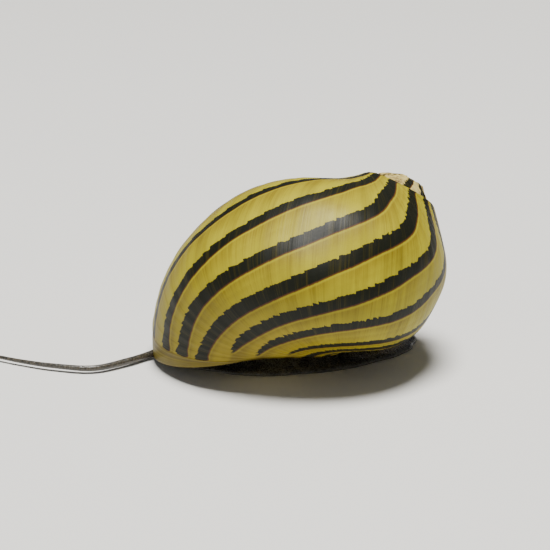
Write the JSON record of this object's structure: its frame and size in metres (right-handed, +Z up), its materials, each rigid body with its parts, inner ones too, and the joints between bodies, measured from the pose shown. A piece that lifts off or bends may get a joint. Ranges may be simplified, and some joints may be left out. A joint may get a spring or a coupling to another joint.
{
  "type": "nerite snail",
  "caption": "Life-size still model of a living striped nerite snail, crawling on its flat foot with its feelers out.",
  "frame": {"origin": "middle of the sole, on the floor", "axes": "-X is forward, towards the head; -Y is the snail's left side; +Z is up"},
  "size_m": [0.0341, 0.029, 0.0148],
  "materials": {
    "shell": "satin, olive yellow with dark diagonal stripes",
    "shell_worn": "worn, chalky, cream",
    "shell_inner": "smooth, porcelain-like, cream",
    "operculum": "horny, pinkish brown",
    "flesh": "moist, dark grey, finely mottled",
    "feeler": "moist, dark grey-brown",
    "eye": "glossy black"
  },
  "bodies": {
    "root": {"shell_body_whorl": "shell", "shell_spire": "shell_worn", "shell_inner_lip": "shell_inner", "operculum": "operculum", "mantle": "flesh", "foot_front": "flesh", "foot_middle": "flesh", "foot_rear": "flesh", "body_column": "flesh", "head": "flesh", "snout": "flesh", "eye_stalk_left": "flesh", "eye_stalk_right": "flesh", "eye_left": "eye", "eye_right": "eye", "tentacle_left_1": "feeler", "tentacle_left_2": "feeler", "tentacle_left_3": "feeler", "tentacle_left_4": "feeler", "tentacle_right_1": "feeler", "tentacle_right_2": "feeler", "tentacle_right_3": "feeler", "tentacle_right_4": "feeler"}
  },
  "joints": []
}
